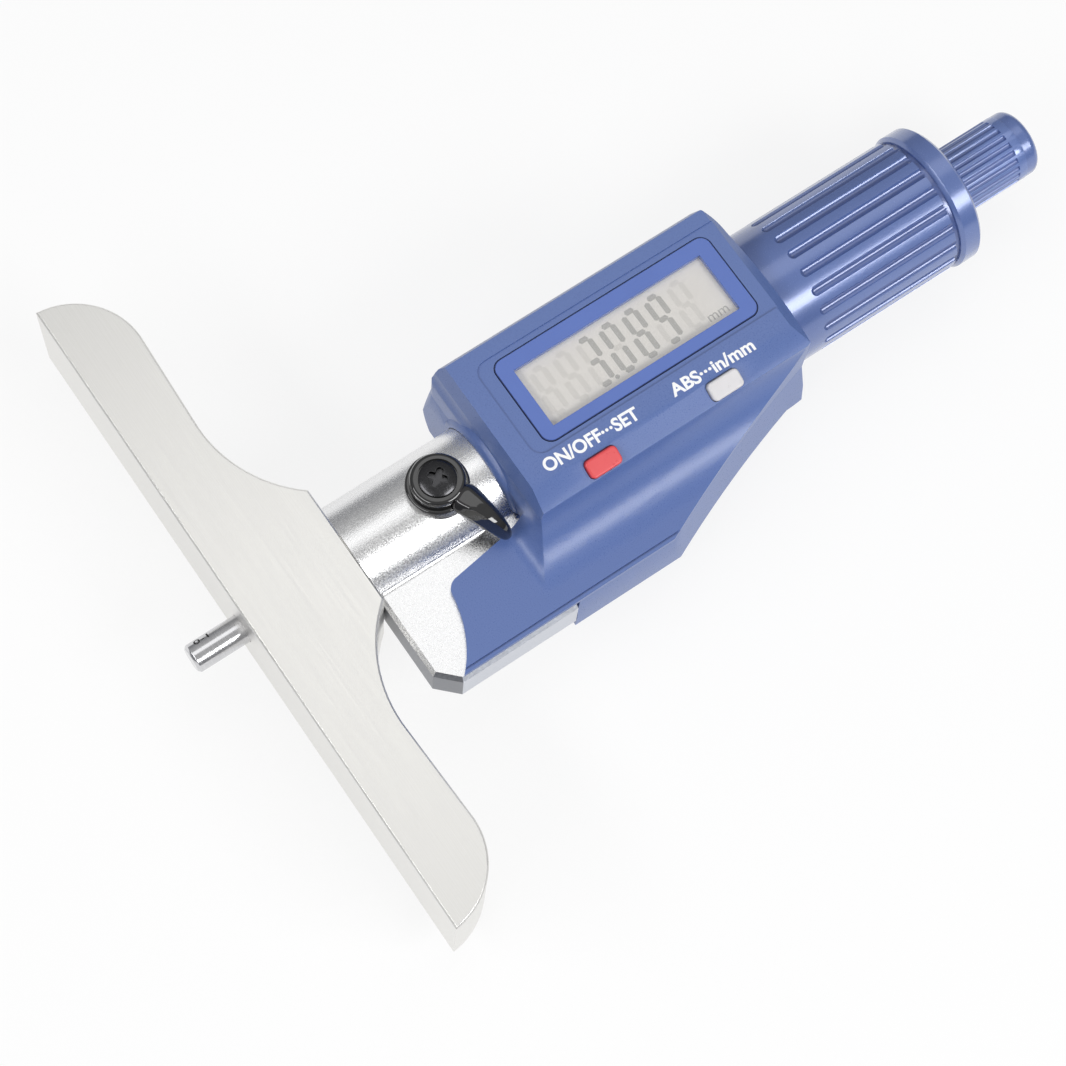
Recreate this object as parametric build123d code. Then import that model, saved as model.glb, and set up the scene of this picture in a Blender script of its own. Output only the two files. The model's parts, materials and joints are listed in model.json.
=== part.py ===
"""Digital depth micrometer, lying on its back with the display up.

Millimetres. The spindle runs along +Y, from the measuring face at y = 0 to the ratchet knob.
+X points along the base to the side with the buttons, and +Z out of the display.
"""
import os
from math import cos, radians, sin, sqrt

from build123d import *

# Fits and gaps
seat_gap = 0.02
running_gap = 0.06
case_gap = 0.1
moving_gap = 0.3

# Measuring range and how far the rod stands out at rest
feed_range = 25.0
rod_reach = 8.0

# Base
base_length = 101.6
base_thickness = 16.0
boss_height = 16.7
boss_width = 18.2
waist_height = 9.4
shoulder_run = 15.4
end_height = 10.0
end_arc_run = 10.6
base_edge_break = 0.25

# Barrel and wing plate of the frame
guide_length = 16.3
spigot_wall = 1.44
spigot_length = 10.0
tail_step = 0.4
tail_length = 2.0
plate_gap = 0.3
plate_length = 21.5
plate_side = 23.3
plate_corner = 2.9
plate_top = 3.2
plate_bottom = -3.1
plate_edge_break = 0.6
plate_fillet = 0.8
lug_setback = 1.5
lug_length = 4.0
lug_screw_offset = 2.7
lug_rim = 2.3

# Spindle and rod
rod_radius = 2.1
rod_tip_break = 0.4
rod_bore_gap = 0.1
rod_guide = 2.7
spindle_wall = 1.8
thread_step = 0.4
thread_length = 35.0
neck_step = 0.1
neck_length = 12.5
shoulder_step = 2.0
shoulder_width = 2.0
seat_step = 0.6
end_thread_step = 0.4
end_thread_length = 4.5
keyway_width = 1.5
keyway_depth = 0.7
keyway_margin = 0.5

# Sleeve, nut and encoder
sleeve_wall = 0.8
encoder_room = 7.7
sleeve_flange_width = 1.8
sleeve_tube_wall = 1.18
nut_wall = 1.14
nut_length = 10.0
nut_setback = 2.5
nut_grip = 8.0
adjuster_step = 0.4
adjuster_width = 2.0
disc_width = 1.0
disc_face = 2.02
bush_wall = 1.14
rotor_flange_step = 0.8
rotor_flange_width = 1.2
washer_width = 0.45

# Thimble
thimble_step = 2.2
thimble_stop_gap = 0.4
thimble_band = 4.8
thimble_wall = 1.2
web_width = 9.0
recess_depth = 8.3
groove_count = 21
groove_turn = -2.8
groove_width = 1.5
groove_depth = 0.5
collar_step = 0.4
collar_width = 3.5
collar_edge_break = 0.5
collar_neck = 0.8

# Spindle cap and ratchet
cap_rim = 3.18
cap_proud = 0.7
cap_wall = 1.4
tooth_boss_radius = 3.6
tooth_boss_length = 1.6
tooth_count = 12
tooth_height = 0.4
stud_radius = 1.5
stud_proud = 0.4
screw_shank_radius = 0.9
ratchet_screw_head = 0.6
knob_radius = 5.05
knob_length = 11.6
knob_gap = 0.4
knob_wall = 1.05
knob_web_width = 2.0
knob_recess = 2.4
knob_ring = 1.4
flute_count = 24
flute_radius = 0.45
flute_inset = 0.12
plug_length = 0.8
dome_length = 2.4
dome_radius = 5.0
dome_round = 1.1
ratchet_disc_width = 1.4
spring_wire = 0.3
spring_turns = 4

# Front shell of the housing
housing_length = 46.4
top_wall = 2.7
top_side_run = 2.3
top_right = 8.7
top_front_run = 1.9
top_rear_run = 2.15
strip_drop = 1.5
strip_run = 3.4
sweep_run = 8.3
deck_wall = 0.8
deck_side = 22.8
deck_front_run = 3.35
deck_tip_x = 11.0
deck_tip_run = 8.3
deck_tip_round = 1.6
deck_inner_x = 9.2
tail_start_run = 16.1
tail_wall = 1.4
tail_bow = 0.6
end_bevel_run = 0.8
end_bevel_drop = 3.0
end_sweep_run = 4.5
side_wall = 3.7
side_bevel_run = 0.8
side_bevel_drop = 1.7
side_wall_setback = 0.5
rear_bevel_drop = 2.2
rear_bulge = 0.8
corner_round = 6.5
front_corner_round = 2.0
arch_rim = 1.5
arch_rim_taper = 0.6
panel_depth = 0.25
panel_setback = 2.9
panel_left = -9.8
panel_right = 5.6
panel_round = 2.0

# Rear shell of the housing
back_wall = 2.1
back_round_width = 8.0
back_round_height = 10.0
back_end_run = 2.4
back_end_drop = 3.6
wing_back_z = -5.3
rear_cover_draft = 8.0

# Display
window_left = -8.85
window_right = 4.8
window_setback = 5.2
window_length = 35.35
window_round = 1.6
window_thickness = 0.95
window_inset = 0.1
lcd_margin = 1.1
lcd_thickness = 1.0
connector_setback = 2.0
connector_width = 1.4

# Circuit board and buttons
board_gap = 0.28
board_thickness = 1.0
board_screw_gap = 1.7
board_edge_gap = 1.1
board_setback = 1.2
board_step_run = 8.8
board_length = 29.8
board_arm_width = 4.4
button_length = 5.0
button_width = 2.7
button_inset = 1.9
button_round = 0.7
button_proud = 0.75
button_depth = 1.3
button_edge = 0.3
button_setback = 4.9
button_spacing = 20.0
switch_radius = 0.9
switch_height = 0.25
switch_inset = 0.5

# Battery
battery_side_gap = 5.1
battery_setback = 3.0
battery_radius = 3.95
battery_height = 3.6
battery_base = -3.2
cover_radius = 4.5
cover_relief = 0.4
cover_slot_width = 0.8
cover_slot_depth = 0.7
contact_thickness = 0.3
contact_width = 2.0
contact_inset = 0.8

# Housing screws
screw_radius = 0.8
screw_head_radius = 1.5
screw_head_height = 1.0
screw_seat_z = -7.6
screw_tip_z = 6.5
wing_screw_x = 15.4
wing_screw_run = 7.4
wing_screw_seat_z = -3.6
wing_screw_tip_z = 4.9

# Lock
lock_run = 14.6
lock_collar_radius = 4.4
lock_collar_rise = 1.2
lock_hub_radius = 3.8
lock_hub_height = 1.7
lock_stud_radius = 1.5
lock_shoe_radius = 1.4
lock_shoe_length = 1.6
lock_screw_head_radius = 2.6
lock_screw_head_height = 1.1
lock_recess_depth = 0.4
lock_screw_shank_radius = 0.9
lock_screw_shank_length = 2.6
lever_angle = 23.5
lever_length = 12.1
lever_root_width = 6.2
lever_tip_width = 2.4
lever_tip_depth = 1.1
lever_tip_drop = 3.6
lever_crown = 0.9
lever_draft = 8.0

# Stations along the spindle that follow from the sizes above
feed_out = feed_range - rod_reach
spigot_front = boss_height - spigot_length
guide_rear = boss_height + guide_length
plate_front = boss_height + plate_gap
plate_rear = plate_front + plate_length
lug_front = plate_rear + lug_setback
barrel_rear = lug_front + lug_length
barrel_tail_rear = barrel_rear + tail_length
lock_y = boss_height + lock_run
stator_rear = barrel_tail_rear + disc_width
rotor_front = stator_rear + moving_gap
sleeve_floor = barrel_tail_rear + encoder_room
sleeve_flange_rear = sleeve_floor + sleeve_flange_width
rotor_bush_rear = sleeve_floor - washer_width - running_gap
nut_front = sleeve_flange_rear + nut_setback
sleeve_rear = nut_front + nut_grip
spindle_front = rod_guide + moving_gap + feed_out
thread_front = guide_rear + feed_out + keyway_margin
thread_rear = thread_front + thread_length
shoulder_front = thread_rear + neck_length
shoulder_rear = shoulder_front + shoulder_width
web_rear = shoulder_rear + web_width
end_thread_rear = web_rear + end_thread_length
thimble_rear = web_rear + recess_depth
collar_front = thimble_rear - collar_width
groove_rear = collar_front - collar_neck
cap_rear = thimble_rear + cap_proud
chamber_rear = cap_rear - cap_wall
rod_rear = chamber_rear - running_gap
tooth_boss_rear = cap_rear + tooth_boss_length
disc_front = tooth_boss_rear + moving_gap
knob_front = cap_rear + knob_gap
knob_rear = knob_front + knob_length
knob_web_rear = knob_rear - knob_recess
knob_web_front = knob_web_rear - knob_web_width
stud_rear = knob_web_rear + stud_proud
housing_front = plate_rear
housing_rear = housing_front + housing_length
side_wall_front = housing_front + side_wall_setback
top_front = housing_front + top_front_run
top_rear = housing_rear - top_rear_run
tail_start = housing_front + tail_start_run
thimble_front = sleeve_flange_rear + feed_out + thimble_stop_gap
groove_front = housing_rear + thimble_band
panel_front = top_front + panel_setback
window_front = top_front + window_setback
window_rear = window_front + window_length
power_button_y = window_front + button_setback
mode_button_y = power_button_y + button_spacing
board_front = barrel_rear + board_setback
battery_y = barrel_rear + battery_setback

# Radii, heights and widths that follow from the sizes above
spindle_radius = rod_radius + rod_bore_gap + spindle_wall
spigot_radius = spindle_radius + running_gap + spigot_wall
thread_radius = spindle_radius + thread_step
thread_pass_radius = thread_radius + moving_gap
neck_radius = spindle_radius - neck_step
shoulder_radius = spindle_radius + shoulder_step
seat_radius = spindle_radius + seat_step
end_thread_radius = spindle_radius - end_thread_step
keyway_floor = spindle_radius - keyway_depth
nut_radius = thread_radius + running_gap + nut_wall
sleeve_tube_radius = nut_radius + seat_gap + sleeve_tube_wall
adjuster_radius = sleeve_tube_radius + adjuster_step
disc_bore_radius = thread_radius + running_gap + bush_wall
rotor_flange_radius = disc_bore_radius + rotor_flange_step
sleeve_inner_radius = disc_bore_radius + disc_face
sleeve_radius = sleeve_inner_radius + sleeve_wall
tail_radius = sleeve_inner_radius - seat_gap
barrel_radius = tail_radius + tail_step
thimble_radius = barrel_radius + thimble_step
thimble_bore_radius = thimble_radius + moving_gap
chamber_radius = sleeve_radius + moving_gap
collar_radius = thimble_radius + collar_step
cap_radius = end_thread_radius + seat_gap + cap_rim
recess_radius = cap_radius + moving_gap
knob_bore_radius = knob_radius - knob_wall
top_z = thimble_bore_radius + top_wall
back_z = -thimble_bore_radius - back_wall
side_wall_x = -thimble_bore_radius - side_wall
top_left = side_wall_x + top_side_run
tail_end_x = thimble_bore_radius + tail_wall
strip_x = top_right + strip_run
strip_z = top_z - strip_drop
deck_z = plate_top + deck_wall
window_bottom = top_z - window_inset - window_thickness
lcd_bottom = window_bottom - lcd_thickness
board_bottom = chamber_radius + board_gap
board_top = board_bottom + board_thickness
board_right = strip_x - board_edge_gap
lug_screw_x = barrel_radius + lug_screw_offset
lug_side = lug_screw_x + lug_rim
battery_x = plate_side - battery_side_gap
contact_x = board_right - contact_inset
lock_collar_top = barrel_radius + lock_collar_rise
lock_lever_bottom = lock_collar_top + case_gap
lock_hub_top = lock_lever_bottom + lock_hub_height
lock_stud_bottom = spindle_radius + lock_shoe_length
far = 200.0


def turned(*points):
    """Solid turned round the spindle's axis from (radius, y) points."""
    return revolve(make_face(Polyline(*points, close=True)), Axis.Y)


def rod_between(radius, front, rear):
    """Plain cylinder on the spindle's axis."""
    return turned((0, front), (radius, front), (radius, rear), (0, rear))


def ring(outer, inner, front, rear):
    """Plain ring on the spindle's axis."""
    return turned((inner, front), (outer, front), (outer, rear), (inner, rear))


def post(radius, x, y, bottom, top):
    """Upright cylinder."""
    return Pos(x, y, bottom) * Cylinder(radius, top - bottom, align=(Align.CENTER, Align.CENTER, Align.MIN))


def block(x_span, y_span, z_span):
    """Box between pairs of limits."""
    sizes = [high - low for low, high in (x_span, y_span, z_span)]
    low = [span[0] for span in (x_span, y_span, z_span)]
    return Pos(*low) * Box(*sizes, align=(Align.MIN, Align.MIN, Align.MIN))


def across(profile):
    """Extrudes a sketch on the YZ plane far to both sides along X."""
    return extrude(profile, far, both=True)


def along(profile):
    """Extrudes a sketch on the XZ plane far to both sides along Y."""
    return extrude(profile, far, both=True)


# Base and frame

def make_base():
    x_end = base_length / 2
    x_boss = boss_width / 2
    x_waist = x_boss + shoulder_run
    x_crown = x_end - end_arc_run
    with BuildSketch() as outline:
        with BuildLine():
            Line((0, 0), (x_end, 0))
            TangentArc((x_crown, end_height), (x_end, 0), tangent=(1, 0))
            Line((x_crown, end_height), (x_waist, waist_height))
            TangentArc((x_waist, waist_height), (x_boss, boss_height), tangent=(-1, 0))
            Line((x_boss, boss_height), (0, boss_height))
            mirror(about=Plane.YZ)
        make_face()
    bar = extrude(outline.sketch, base_thickness / 2, both=True)
    by_height = bar.edges().group_by(Axis.Z)
    bar = chamfer(by_height[0] + by_height[-1], base_edge_break)
    bar -= rod_between(spigot_radius + seat_gap, spigot_front - case_gap, boss_height)
    bar -= rod_between(spindle_radius + moving_gap, rod_guide, boss_height)
    return bar - rod_between(rod_radius + running_gap, -case_gap, boss_height)


def plate_root():
    """Distance from the axis at which the wing plate's top meets the barrel."""
    return sqrt(barrel_radius**2 - plate_top**2)


def make_frame():
    barrel = turned(
        (0, spigot_front), (spigot_radius, spigot_front), (spigot_radius, boss_height),
        (barrel_radius, boss_height), (barrel_radius, barrel_rear), (tail_radius, barrel_rear),
        (tail_radius, barrel_tail_rear), (0, barrel_tail_rear),
    )
    with BuildSketch(Plane.XY.offset(plate_bottom)) as wing:
        with BuildLine():
            Polyline(
                (0, plate_front), (plate_side - plate_corner, plate_front),
                (plate_side, plate_front + plate_corner), (plate_side, plate_rear),
                (0, plate_rear), close=True,
            )
        make_face()
    plate = extrude(wing.sketch, plate_top - plate_bottom)
    rim = plate.edges().group_by(Axis.Z)[-1].filter_by(lambda edge: edge.center().X > plate_corner)
    rim = rim.filter_by(lambda edge: edge.center().Y < plate_rear)
    plate = chamfer(rim, plate_edge_break)
    lugs = block((-lug_side, lug_side), (lug_front, barrel_rear), (plate_bottom, plate_top))
    bridge = block((0, lug_side), (plate_rear, lug_front), (plate_bottom, plate_top))
    casting = barrel + plate + lugs + bridge
    root_x = plate_root()
    roots = casting.edges().filter_by(Axis.Y).filter_by(lambda edge: abs(edge.center().X - root_x) < seat_gap)
    casting = fillet(roots.filter_by(lambda edge: edge.center().Z > 0), plate_fillet)
    casting -= rod_between(spindle_radius + running_gap, spigot_front, guide_rear)
    casting -= rod_between(thread_pass_radius, guide_rear, barrel_tail_rear)
    casting -= post(lock_stud_radius + running_gap, 0, lock_y, 0, lock_collar_top)
    for x, y, _, _ in screw_places():
        casting -= post(screw_radius + case_gap, x, y, plate_bottom, plate_top)
    return casting


# Sleeve, nut and encoder

def make_inner_sleeve():
    return turned(
        (thread_pass_radius, sleeve_floor), (sleeve_inner_radius, sleeve_floor),
        (sleeve_inner_radius, barrel_rear), (sleeve_radius, barrel_rear),
        (sleeve_radius, sleeve_flange_rear), (sleeve_tube_radius, sleeve_flange_rear),
        (sleeve_tube_radius, sleeve_rear), (nut_radius + seat_gap, sleeve_rear),
        (nut_radius + seat_gap, nut_front), (thread_pass_radius, nut_front),
    )


def make_spindle_nut():
    return ring(nut_radius, thread_radius + running_gap, nut_front, nut_front + nut_length)


def make_adjusting_nut():
    return ring(adjuster_radius, nut_radius + seat_gap, sleeve_rear, sleeve_rear + adjuster_width)


def make_encoder_stator():
    return ring(sleeve_inner_radius - case_gap, disc_bore_radius, barrel_tail_rear, stator_rear)


def make_encoder_rotor():
    bore = disc_bore_radius + seat_gap
    return ring(sleeve_inner_radius - moving_gap, bore, rotor_front, rotor_front + disc_width)


def make_rotor_bush():
    flange_front = rotor_front + disc_width
    flange_rear = flange_front + rotor_flange_width
    bore = thread_radius + running_gap
    bush = turned(
        (bore, rotor_front), (disc_bore_radius, rotor_front), (disc_bore_radius, flange_front),
        (rotor_flange_radius, flange_front), (rotor_flange_radius, flange_rear),
        (disc_bore_radius, flange_rear), (disc_bore_radius, rotor_bush_rear), (bore, rotor_bush_rear),
    )
    half_key = keyway_width / 2 - running_gap
    key_depth = (-(bore + disc_bore_radius) / 2, -keyway_floor - running_gap)
    return bush + block((-half_key, half_key), (rotor_front, rotor_bush_rear), key_depth)


def make_thrust_washer():
    return ring(rotor_flange_radius, thread_pass_radius, sleeve_floor - washer_width, sleeve_floor)


# Spindle, rod and thimble

def make_spindle():
    bore = rod_radius + rod_bore_gap
    body = turned(
        (bore, spindle_front), (spindle_radius, spindle_front), (spindle_radius, thread_front),
        (thread_radius, thread_front), (thread_radius, thread_rear), (neck_radius, thread_rear),
        (neck_radius, shoulder_front), (shoulder_radius, shoulder_front), (shoulder_radius, shoulder_rear),
        (seat_radius, shoulder_rear), (seat_radius, web_rear), (end_thread_radius, web_rear),
        (end_thread_radius, end_thread_rear), (bore, end_thread_rear),
    )
    half_way = keyway_width / 2
    keyway_y = (rotor_front - rod_reach - keyway_margin, rotor_bush_rear + feed_out + keyway_margin)
    return body - block((-half_way, half_way), keyway_y, (-thread_pass_radius, -keyway_floor))


def make_measuring_rod():
    tip = rod_radius - rod_tip_break
    return turned(
        (0, -rod_reach), (tip, -rod_reach), (rod_radius, rod_tip_break - rod_reach),
        (rod_radius, rod_rear), (0, rod_rear),
    )


def make_rod_nuts():
    room = chamber_rear - end_thread_rear
    width = room / 2 - running_gap
    corner = end_thread_radius - case_gap
    nuts = []
    for front in (end_thread_rear, end_thread_rear + room / 2):
        hexagon = extrude(RegularPolygon(corner, 6), width)
        turned_up = Pos(0, front, 0) * Rot(-90, 0, 0) * hexagon
        nuts.append(turned_up - rod_between(rod_radius + seat_gap, front, front + width))
    return Compound(children=nuts)


def make_thimble():
    inner = thimble_radius - thimble_wall
    neck = thimble_radius - groove_depth
    body = turned(
        (inner, thimble_front), (thimble_radius, thimble_front), (thimble_radius, groove_rear),
        (neck, groove_rear), (neck, collar_front), (collar_radius - collar_edge_break, collar_front),
        (collar_radius, collar_front + collar_edge_break), (collar_radius, thimble_rear - collar_edge_break),
        (collar_radius - collar_edge_break, thimble_rear), (recess_radius, thimble_rear),
        (recess_radius, web_rear), (seat_radius + seat_gap, web_rear),
        (seat_radius + seat_gap, shoulder_rear), (inner, shoulder_rear),
    )
    half = groove_width / 2
    straight = block((-half, half), (groove_front + half, groove_rear), (neck, collar_radius))
    cutter = straight + post(half, 0, groove_front + half, neck, collar_radius)
    for index in range(groove_count):
        body -= Rot(0, groove_turn + 360 * index / groove_count, 0) * cutter
    return body


def saw_teeth(front, rise):
    """Ring of face teeth on the spindle's axis that climb by rise along +Y."""
    pitch = 360 / tooth_count
    crown = tooth_boss_radius
    teeth = []
    for index in range(tooth_count):
        start = radians(index * pitch)
        end = radians((index + 0.5) * pitch)
        wedge = Polyline(
            (stud_radius * cos(start), stud_radius * sin(start)), (crown * cos(start), crown * sin(start)),
            (crown * cos(end), crown * sin(end)), (stud_radius * cos(end), stud_radius * sin(end)),
            close=True,
        )
        teeth.append(Pos(0, front, 0) * Rot(-90, 0, 0) * extrude(make_face(wedge), rise))
    return teeth


def make_spindle_cap():
    thread = end_thread_radius + seat_gap
    tooth_root = tooth_boss_rear - tooth_height
    body = turned(
        (thread, web_rear), (cap_radius, web_rear), (cap_radius, cap_rear), (tooth_boss_radius, cap_rear),
        (tooth_boss_radius, tooth_root), (stud_radius, tooth_root), (stud_radius, stud_rear),
        (0, stud_rear), (0, chamber_rear), (thread, chamber_rear),
    )
    body = body + saw_teeth(tooth_root, tooth_height)
    return body - rod_between(screw_shank_radius + seat_gap, tooth_boss_rear, stud_rear)


def make_ratchet_screw():
    head_radius = (stud_radius + knob_bore_radius) / 2
    head_rear = stud_rear + ratchet_screw_head
    return turned(
        (0, tooth_boss_rear), (screw_shank_radius, tooth_boss_rear), (screw_shank_radius, stud_rear),
        (head_radius, stud_rear), (head_radius, head_rear), (0, head_rear),
    )


# Ratchet

def make_ratchet_knob():
    shell = turned(
        (knob_bore_radius, knob_front), (knob_radius - flute_inset, knob_front),
        (knob_radius, knob_front + flute_inset),
        (knob_radius, knob_rear), (knob_bore_radius, knob_rear), (knob_bore_radius, knob_web_rear),
        (stud_radius + running_gap, knob_web_rear), (stud_radius + running_gap, knob_web_front),
        (knob_bore_radius, knob_web_front),
    )
    flute = rod_between(flute_radius, knob_front, knob_rear - knob_ring)
    for index in range(flute_count):
        turn = Rot(0, 360 * index / flute_count, 0)
        shell -= turn * Pos(0, 0, knob_radius + flute_inset) * flute
    return shell


def make_ratchet_cap():
    plug = rod_between(knob_bore_radius - seat_gap, knob_rear - plug_length, knob_rear)
    dome = rod_between(dome_radius, knob_rear, knob_rear + dome_length)
    dome = fillet(dome.edges().group_by(Axis.Y)[-1], dome_round)
    return plug + dome


def make_ratchet_disc():
    inner = stud_radius + moving_gap
    root = disc_front + tooth_height
    disc = ring(knob_bore_radius - case_gap, inner, root, disc_front + ratchet_disc_width)
    teeth = [tooth - rod_between(inner, disc_front, root) for tooth in saw_teeth(disc_front, tooth_height)]
    return disc + teeth


def make_ratchet_spring():
    front = disc_front + ratchet_disc_width + spring_wire
    height = knob_web_front - spring_wire - front
    radius = (stud_radius + knob_bore_radius) / 2
    path = Helix(pitch=height / spring_turns, height=height, radius=radius)
    coil = sweep(Plane(path @ 0, z_dir=path % 0) * Circle(spring_wire), path=path)
    return Pos(0, front, 0) * Rot(-90, 0, 0) * coil


# Housing shells

def tail_edge():
    """Plan points of the wing's edge from the straight side to the rear end."""
    start = (deck_side, tail_start)
    end = (tail_end_x, housing_rear - rear_bulge)
    middle = ((start[0] + end[0]) / 2 - tail_bow, (start[1] + end[1]) / 2 - tail_bow / 2)
    return start, middle, end


def left_side_edge(rear_right, front_right):
    """Plan edge over the bulged rear end, down the plain side and along the front."""
    rear_y = rear_right[1]
    rear_left = (side_wall_x + corner_round, rear_y)
    middle = ((rear_right[0] + rear_left[0]) / 2, rear_y + rear_bulge)
    ThreePointArc(rear_right, middle, rear_left)
    side_rear = (side_wall_x, rear_y - corner_round)
    TangentArc(rear_left, side_rear, tangent=(-1, 0))
    side_front = (side_wall_x, side_wall_front + front_corner_round)
    Line(side_rear, side_front)
    front_left = (side_wall_x + front_corner_round, side_wall_front)
    TangentArc(side_front, front_left, tangent=(0, -1))
    Line(front_left, front_right)


def front_plan():
    """Plan of the front shell: display block, deck over the wing plate and tail."""
    start, middle, end = tail_edge()
    deck_front = plate_front + deck_front_run
    deck_tip_y = plate_front + deck_tip_run
    with BuildSketch(Plane.XY.offset(plate_top)) as plan:
        with BuildLine():
            edge = Polyline((deck_inner_x, side_wall_front), (deck_tip_x, deck_tip_y + deck_tip_round))
            corner = TangentArc(edge @ 1, (deck_tip_x + deck_tip_round, deck_tip_y), tangent=edge % 1)
            Spline(corner @ 1, (deck_side, deck_front), tangents=(corner % 1, (1, -1)))
            Line((deck_side, deck_front), start)
            ThreePointArc(start, middle, end)
            left_side_edge(end, (deck_inner_x, side_wall_front))
        make_face()
    return plan.sketch


def rear_plan():
    """Plan of the rear shell at the parting plane."""
    start, middle, end = tail_edge()
    with BuildSketch(Plane.XY.offset(plate_top)) as plan:
        with BuildLine():
            Line((deck_side, side_wall_front), start)
            ThreePointArc(start, middle, end)
            left_side_edge(end, (deck_side, side_wall_front))
        make_face()
    return plan.sketch


def front_sections():
    """Cross section and long section of the front shell, each extruded far past it."""
    with BuildSketch(Plane.XZ) as cross:
        with BuildLine():
            Polyline(
                (deck_side, deck_z), (deck_side, plate_top), (side_wall_x, plate_top),
                (top_left - side_bevel_run, top_z - side_bevel_drop), (top_left, top_z),
                (top_right, top_z), (strip_x, strip_z),
            )
            centre = (strip_x + sweep_run, strip_z)
            sweep_arc = EllipticalCenterArc(centre, sweep_run, strip_z - deck_z, 180, arc_size=90)
            Line(sweep_arc @ 1, (deck_side, deck_z))
        make_face()
    bevel_y = top_front - end_bevel_run
    bevel_z = top_z - end_bevel_drop
    with BuildSketch(Plane.YZ) as lengthwise:
        with BuildLine():
            centre = (bevel_y - end_sweep_run, bevel_z)
            arc = EllipticalCenterArc(centre, end_sweep_run, bevel_z - deck_z, 270, arc_size=90)
            Polyline(
                arc @ 1, (top_front, top_z), (top_rear, top_z), (housing_rear, top_z - rear_bevel_drop),
                (housing_rear, plate_top), (plate_front, plate_top), (plate_front, deck_z), arc @ 0,
            )
        make_face()
    return along(cross.sketch), across(lengthwise.sketch)


def arch_ring():
    """Rim of the housing round the barrel."""
    outer = barrel_radius + arch_rim
    return turned(
        (0, housing_front), (outer - arch_rim_taper, housing_front),
        (outer, housing_front + 2 * arch_rim_taper), (outer, lug_front), (0, lug_front),
    )


def shaft_space():
    """Room inside both shells for the barrel, the encoder, the thimble and the frame's lugs."""
    room = rod_between(barrel_radius + case_gap, 0, barrel_rear + case_gap)
    room += rod_between(chamber_radius, barrel_rear, sleeve_flange_rear)
    room += rod_between(thimble_bore_radius, sleeve_flange_rear, far)
    lugs = block(
        (-lug_side - case_gap, lug_side + case_gap), (lug_front - case_gap, barrel_rear + case_gap),
        (plate_bottom - case_gap, plate_top),
    )
    bridge = block((0, lug_side + case_gap), (0, barrel_rear), (plate_bottom - case_gap, plate_top))
    fillet_side = plate_root() + plate_fillet + case_gap
    relief = block((0, fillet_side), (0, barrel_rear), (plate_top, plate_top + plate_fillet))
    return room + lugs + bridge + relief


def screw_places():
    """Housing screws: plan position, height of the head's seat and of the tip."""
    lug_y = (lug_front + barrel_rear) / 2
    return (
        (-lug_screw_x, lug_y, screw_seat_z, screw_tip_z), (lug_screw_x, lug_y, screw_seat_z, screw_tip_z),
        (wing_screw_x, tail_start + wing_screw_run, wing_screw_seat_z, wing_screw_tip_z),
    )


def window_outline(grow):
    """Rounded outline of the display window, grown on each side."""
    width = window_right - window_left + 2 * grow
    length = window_rear - window_front + 2 * grow
    middle = Pos((window_left + window_right) / 2, (window_front + window_rear) / 2)
    return middle * RectangleRounded(width, length, window_round + grow)


def lcd_block(grow, bottom, top):
    """Box of the display panel, grown on each side."""
    inset = lcd_margin - grow
    x_span = (window_left + inset, window_right - inset)
    return block(x_span, (window_front + inset, window_rear - inset), (bottom, top))


def connector_block(grow, bottom):
    """Strip that joins board and display, grown on each side."""
    x_span = (window_left + lcd_margin - grow, window_right - lcd_margin + grow)
    front = window_front + connector_setback
    return block(x_span, (front - grow, front + connector_width + grow), (bottom, lcd_bottom))


def button_plane(y):
    """Frame of a button: origin on the bevel strip, z out of it, x along the spindle."""
    middle = (top_right + button_inset, y, top_z - strip_drop * button_inset / strip_run)
    return Plane(origin=middle, x_dir=(0, 1, 0), z_dir=(strip_drop, 0, strip_run))


def board_space(bottom, top, grow):
    """L-shaped block of the circuit board, grown on each side."""
    x_span = (board_screw_gap - lug_screw_x - grow, board_right + grow)
    step = board_front + board_step_run
    main = block(x_span, (board_front - grow, step + grow), (bottom, top))
    arm_x = (board_right - board_arm_width - grow, board_right + grow)
    return main + block(arm_x, (step, board_front + board_length + grow), (bottom, top))


def contact_space(grow):
    """Bent strip of the battery contact, grown on each side."""
    top = battery_base + battery_height + contact_thickness
    y_span = (battery_y - contact_width / 2 - grow, battery_y + contact_width / 2 + grow)
    flat = block((contact_x - grow, battery_x + grow), y_span, (top - contact_thickness, top + grow))
    upright = block((contact_x - grow, contact_x + contact_thickness + grow), y_span, (top, board_bottom))
    return flat + upright


def make_front_housing():
    cross, lengthwise = front_sections()
    shell = extrude(front_plan(), far) & cross & lengthwise
    above = block((-far, far), (0, far), (plate_top, far))
    shell += arch_ring() & above
    panel = RectangleRounded(panel_right - panel_left, far - panel_front, panel_round)
    panel_middle = Pos((panel_left + panel_right) / 2, (panel_front + far) / 2, top_z - panel_depth)
    shell -= extrude(panel_middle * panel, far)
    shell -= extrude(Pos(0, 0, window_bottom) * window_outline(case_gap), far)
    shell -= lcd_block(case_gap, lcd_bottom, window_bottom)
    shell -= shaft_space()
    shell -= board_space(plate_top, board_top + case_gap, case_gap)
    shell -= connector_block(case_gap, board_bottom)
    for y in (power_button_y, mode_button_y):
        length = button_length + 2 * case_gap
        width = button_width + 2 * case_gap
        outline = button_plane(y) * RectangleRounded(length, width, button_round + case_gap)
        shell -= extrude(outline, strip_run, both=True) & block((0, far), (0, far), (board_bottom, far))
    shell -= contact_space(case_gap)
    for x, y, _, tip_z in screw_places():
        shell -= post(screw_radius, x, y, plate_top, tip_z)
    return shell


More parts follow.
